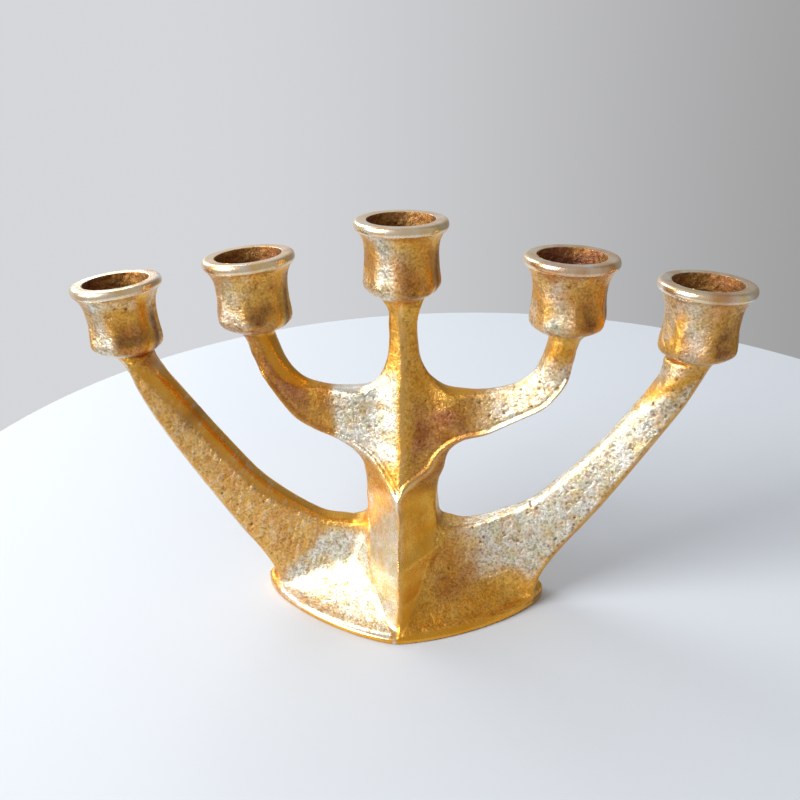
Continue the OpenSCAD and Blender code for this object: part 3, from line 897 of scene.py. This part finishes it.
class Nodes:
    """Short calls for building a material's node tree."""

    def __init__(self, name):
        self.material = bpy.data.materials.new(name)
        self.material.use_nodes = True
        self.tree = self.material.node_tree
        self.shader = self.tree.nodes["Principled BSDF"]
        self.place = self.tree.nodes.new("ShaderNodeTexCoord").outputs["Object"]

    def join(self, socket, value):
        join_socket(self.tree, socket, value)

    def new(self, kind, values):
        """A new node with some of its inputs set."""
        node = self.tree.nodes.new(kind)
        for socket, value in values.items():
            node.inputs[socket].default_value = value
        return node

    def noise(self, scale, detail=4, roughness=0.55, distortion=0.0, place=None):
        """Noise whose lumps are about 1 / scale metres across."""
        values = {"Scale": scale, "Detail": detail, "Roughness": roughness, "Distortion": distortion}
        node = self.new("ShaderNodeTexNoise", values)
        self.join(node.inputs["Vector"], place or self.place)
        return node.outputs["Fac"]

    def stretch(self, scale):
        """The place in the object, scaled."""
        node = self.new("ShaderNodeMapping", {"Scale": scale})
        self.join(node.inputs["Vector"], self.place)
        return node.outputs["Vector"]

    def range(self, value, low, high, out_low=0.0, out_high=1.0):
        """Takes low to out_low and high to out_high, and holds the value between them."""
        limits = {"From Min": low, "From Max": high, "To Min": out_low, "To Max": out_high}
        node = self.new("ShaderNodeMapRange", limits)
        self.join(node.inputs["Value"], value)
        return node.outputs["Result"]

    def math(self, kind, a, b):
        node = self.tree.nodes.new("ShaderNodeMath")
        node.operation = kind
        self.join(node.inputs[0], a)
        self.join(node.inputs[1], b)
        return node.outputs[0]

    def mix(self, share, a, b):
        node = self.tree.nodes.new("ShaderNodeMix")
        node.data_type = "RGBA"
        self.join(node.inputs["Factor"], share)
        self.join(node.inputs["A"], a)
        self.join(node.inputs["B"], b)
        return node.outputs["Result"]

    def masks(self):
        """The mesh's four masks: smooth, redder (patination and painted shade), darker (hollows and
        painted shade) and paler (wear and painted highlights).
        """
        node = self.tree.nodes.new("ShaderNodeAttribute")
        node.attribute_name = "finish_and_painted_light"
        split = self.tree.nodes.new("ShaderNodeSeparateColor")
        self.join(split.inputs[0], node.outputs["Color"])
        return split.outputs[0], split.outputs[1], split.outputs[2], node.outputs["Alpha"]

    def bump(self, height, distance, strength, under=None):
        """A normal for a height over distance metres, on top of another normal."""
        node = self.new("ShaderNodeBump", {"Distance": distance, "Strength": strength})
        self.join(node.inputs["Height"], height)
        if under is not None:
            self.join(node.inputs["Normal"], under)
        return node.outputs["Normal"]


def bronze_material():
    """Gold bronze, paler where worn and under painted highlights and reflections, redder where patinated
    and under painted shade, and dark in its pits, hollows and painted shade.
    """
    n = Nodes("cast_bronze")
    smooth, patina_and_shade, hollow_and_shade, rubbed_and_highlight = n.masks()
    rough = n.math("SUBTRACT", 1.0, smooth)
    cloud = n.noise(95, 4, 0.6, 0.4)
    grain = n.noise(1050, 5, 0.72)
    fine = n.noise(1900, 3, 0.6)
    lumps = n.noise(330, 3, 0.6)
    # The grain's high spots, gold, and pale where worn and where highlights are painted, over darker lows
    high = n.math("ADD", n.range(grain, 0.36, 0.60), n.range(lumps, 0.35, 0.65, -0.15, 0.25))
    high = n.math("MAXIMUM", high, n.math("MULTIPLY", smooth, 0.9))
    gold = n.mix(n.range(cloud, 0.35, 0.65), (0.95, 0.58, 0.13, 1), (0.82, 0.37, 0.035, 1))
    gold = n.mix(high, (0.48, 0.22, 0.03, 1), gold)
    pale = n.mix(n.range(n.noise(210, 4), 0.45, 0.68), (0.96, 0.94, 0.87, 1), (0.84, 0.77, 0.48, 1))
    pale = n.mix(high, (0.33, 0.27, 0.16, 1), pale)
    pale_share = n.math("MULTIPLY", rubbed_and_highlight, n.range(n.noise(170, 4, 0.65), 0.3, 0.55, 0.45, 1.0))
    colour = n.mix(pale_share, gold, pale)
    # Redder patination and painted shade, bare smooth metal, dark hollows and painted shade, painted
    # glints
    red = n.mix(n.range(n.noise(140, 4), 0.4, 0.62), (0.52, 0.18, 0.04, 1), (0.60, 0.24, 0.13, 1))
    red = n.mix(high, (0.22, 0.07, 0.02, 1), red)
    red_share = n.math("MULTIPLY", patina_and_shade, n.range(n.noise(70, 4, 0.6, 0.6), 0.38, 0.62, 0.2, 0.95))
    colour = n.mix(red_share, colour, red)
    # Bare smooth metal, which on the cups also draws a painted orange reflection
    bare = n.math("MULTIPLY", smooth, n.range(rubbed_and_highlight, 0.15, 0.6, 0.85, 0))
    bare_gold = n.mix(n.range(cloud, 0.35, 0.65), (0.86, 0.44, 0.06, 1), (0.80, 0.35, 0.025, 1))
    colour = n.mix(bare, colour, bare_gold)
    colour = n.mix(n.math("MULTIPLY", hollow_and_shade, 0.85), colour, (0.085, 0.035, 0.028, 1))
    glint = n.math("MULTIPLY", rough, n.range(fine, 0.58, 0.7, 0, 0.3))
    colour = n.mix(glint, colour, (0.97, 0.80, 0.48, 1))
    n.join(n.shader.inputs["Base Color"], colour)
    n.shader.inputs["Metallic"].default_value = 1.0
    gloss = n.range(cloud, 0.3, 0.7, 0.26, 0.40)
    gloss = n.math("ADD", gloss, n.range(grain, 0.3, 0.7, 0.08, -0.06))
    gloss = n.math("SUBTRACT", gloss, n.math("MULTIPLY", smooth, 0.08))
    gloss = n.math("ADD", gloss, n.math("MULTIPLY", hollow_and_shade, 0.3))
    n.join(n.shader.inputs["Roughness"], gloss)
    coarse = n.math("MULTIPLY", lumps, n.range(rough, 0, 1, 0.10, 1.0))
    normal = n.bump(coarse, 0.0005, 0.9)
    small = n.math("MULTIPLY", grain, n.range(rough, 0, 1, 0.12, 1.0))
    n.join(n.shader.inputs["Normal"], n.bump(small, 0.00035, 0.8, normal))
    return n.material


def steel_material():
    """Turned steel with old grime."""
    n = Nodes("turned_steel")
    lines = n.noise(900, 3, 0.5, 0, n.stretch((1, 1, 0.05)))
    grime = n.range(n.noise(220, 4), 0.45, 0.7)
    n.join(n.shader.inputs["Base Color"], n.mix(grime, (0.46, 0.45, 0.43, 1), (0.16, 0.12, 0.09, 1)))
    n.shader.inputs["Metallic"].default_value = 1.0
    n.join(n.shader.inputs["Roughness"], n.range(lines, 0.3, 0.7, 0.28, 0.5))
    n.join(n.shader.inputs["Normal"], n.bump(lines, 0.0001, 0.5))
    return n.material


def felt_material():
    """Matted green felt."""
    n = Nodes("green_felt")
    fibres = n.noise(1400, 6, 0.7, 1.2)
    matted = n.noise(260, 4, 0.6, 0.8)
    deep = n.mix(n.range(fibres, 0.35, 0.65), (0.012, 0.055, 0.028, 1), (0.035, 0.125, 0.062, 1))
    worn = n.range(matted, 0.4, 0.75, 0, 0.6)
    n.join(n.shader.inputs["Base Color"], n.mix(worn, deep, (0.05, 0.14, 0.08, 1)))
    n.shader.inputs["Roughness"].default_value = 0.95
    n.shader.inputs["Sheen Weight"].default_value = 0.5
    n.shader.inputs["Sheen Roughness"].default_value = 0.5
    n.join(n.shader.inputs["Normal"], n.bump(fibres, 0.0004, 1.0, n.bump(matted, 0.0006, 0.6)))
    return n.material


def dress(obj, material):
    """Gives an object one material."""
    obj.data.materials.clear()
    obj.data.materials.append(material)


BRONZE = bronze_material()
for node, piece in pieces.items():
    dress(piece, BRONZE)
    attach(piece, "root")
    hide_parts(node)

pad = make_pad()
dress(pad, felt_material())
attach(pad, "root")
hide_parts("felt_pad")


# How far a cup screw goes below its seat
SCREW_REACH = 4.5


def make_screw(name):
    """A cup screw that leans with its cup, cut short where the neck is narrower than in the CAD."""
    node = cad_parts["cup_screw_" + name]
    seat = CUPS[name][1] * MM
    lowest = seat - SCREW_REACH * MM
    shift, lean = CUP_SET[name][0] * MM, math.tan(math.radians(CUP_SET[name][1]))
    mesh = node.data.copy()
    for v in mesh.vertices:
        v.co.z = max(v.co.z, lowest)
        v.co.x += shift + lean * (v.co.z - seat)
    return add_object("cup_bolt_" + name, mesh)


STEEL = steel_material()
for name in CUP_NAMES:
    bolt = make_screw(name)
    dress(bolt, STEEL)
    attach(bolt, "root")
    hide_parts("cup_screw_" + name)
for node in ("foot_screws", "lower_dowels_left", "lower_dowels_right", "upper_dowels_left",
             "upper_dowels_right"):
    dress(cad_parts[node], STEEL)

# ---- camera, floor, light

def place_camera():
    """A camera a little to the right of the front, looking down at the pillar."""
    pitch, yaw, roll = math.radians(23.864), math.radians(6.845), math.radians(-1.203)
    target, distance = Vector((-1.68, 0, 84.66)) * MM, 0.3117
    back = Vector((math.sin(yaw) * math.cos(pitch), -math.cos(yaw) * math.cos(pitch), math.sin(pitch)))
    right = (-back).cross(Vector((0, 0, 1))).normalized()
    up = right.cross(-back)
    r = math.cos(roll) * right + math.sin(roll) * up
    u = -math.sin(roll) * right + math.cos(roll) * up
    data = bpy.data.cameras.new("camera")
    data.sensor_width = 36
    data.lens = 37.725
    data.clip_start = 0.01
    cam = add_object("camera", data)
    turn = Matrix((r, u, back)).transposed().to_4x4()
    cam.matrix_world = Matrix.Translation(target + back * distance) @ turn
    bpy.context.scene.camera = cam


place_camera()


def make_floor():
    """A pale round table top."""
    middle_x, middle_y, radius, count = 0.030, 0.081, 0.287, 360
    turn = [2 * math.pi * i / count for i in range(count)]
    outline = [(middle_x + radius * math.cos(t), middle_y + radius * math.sin(t), 0) for t in turn]
    mesh = bpy.data.meshes.new("floor")
    mesh.from_pydata(outline, [], [list(range(len(outline)))])
    floor = add_object("floor", mesh)
    mat = bpy.data.materials.new("floor")
    mat.use_nodes = True
    shader = mat.node_tree.nodes["Principled BSDF"]
    shader.inputs["Base Color"].default_value = (0.60, 0.64, 0.69, 1)
    shader.inputs["Roughness"].default_value = 0.55
    mesh.materials.append(mat)


make_floor()


def area(name, place, size, power):
    """A white rectangular lamp of so many watts that faces the middle of the body."""
    data = bpy.data.lights.new(name, "AREA")
    data.shape = "RECTANGLE"
    data.size, data.size_y = size
    data.energy = power
    lamp = add_object(name, data)
    lamp.location = place
    lamp.rotation_euler = (Vector((0, 0, 0.07)) - Vector(place)).to_track_quat("-Z", "Y").to_euler()


def studio_world():
    """Soft surroundings: a grey wall behind, lighter on the left, and an even room in front."""
    world = bpy.data.worlds.new("studio")
    world.use_nodes = True
    tree = world.node_tree
    place = tree.nodes.new("ShaderNodeTexCoord")
    split = tree.nodes.new("ShaderNodeSeparateXYZ")
    tree.links.new(place.outputs["Generated"], split.inputs[0])

    def fade(axis, low, high, near, far):
        """A colour that goes from near to far between two places along an axis."""
        span = tree.nodes.new("ShaderNodeMapRange")
        span.interpolation_type = "SMOOTHSTEP"
        span.inputs["From Min"].default_value = low
        span.inputs["From Max"].default_value = high
        tree.links.new(split.outputs[axis], span.inputs["Value"])
        mix = tree.nodes.new("ShaderNodeMix")
        mix.data_type = "RGBA"
        for socket, value in (("Factor", span.outputs["Result"]), ("A", near), ("B", far)):
            join_socket(tree, mix.inputs[socket], value)
        return mix.outputs["Result"]

    wall = fade("X", -0.38, 0.62, (0.67, 0.675, 0.70, 1), (0.27, 0.27, 0.265, 1))
    room = fade("X", -0.8, 0.3, (0.50, 0.50, 0.51, 1), (0.46, 0.45, 0.44, 1))
    tree.links.new(fade("Y", -0.1, 0.35, room, wall), tree.nodes["Background"].inputs[0])
    tree.nodes["Background"].inputs[1].default_value = 1.0
    bpy.context.scene.world = world


area("window", (-2.1, -1.3, 1.4), (1.6, 1.6), 108)
area("left_fill", (-0.6, 0.5, 0.6), (0.5, 0.5), 3.5)
studio_world()
bpy.context.scene.view_settings.view_transform = "Standard"
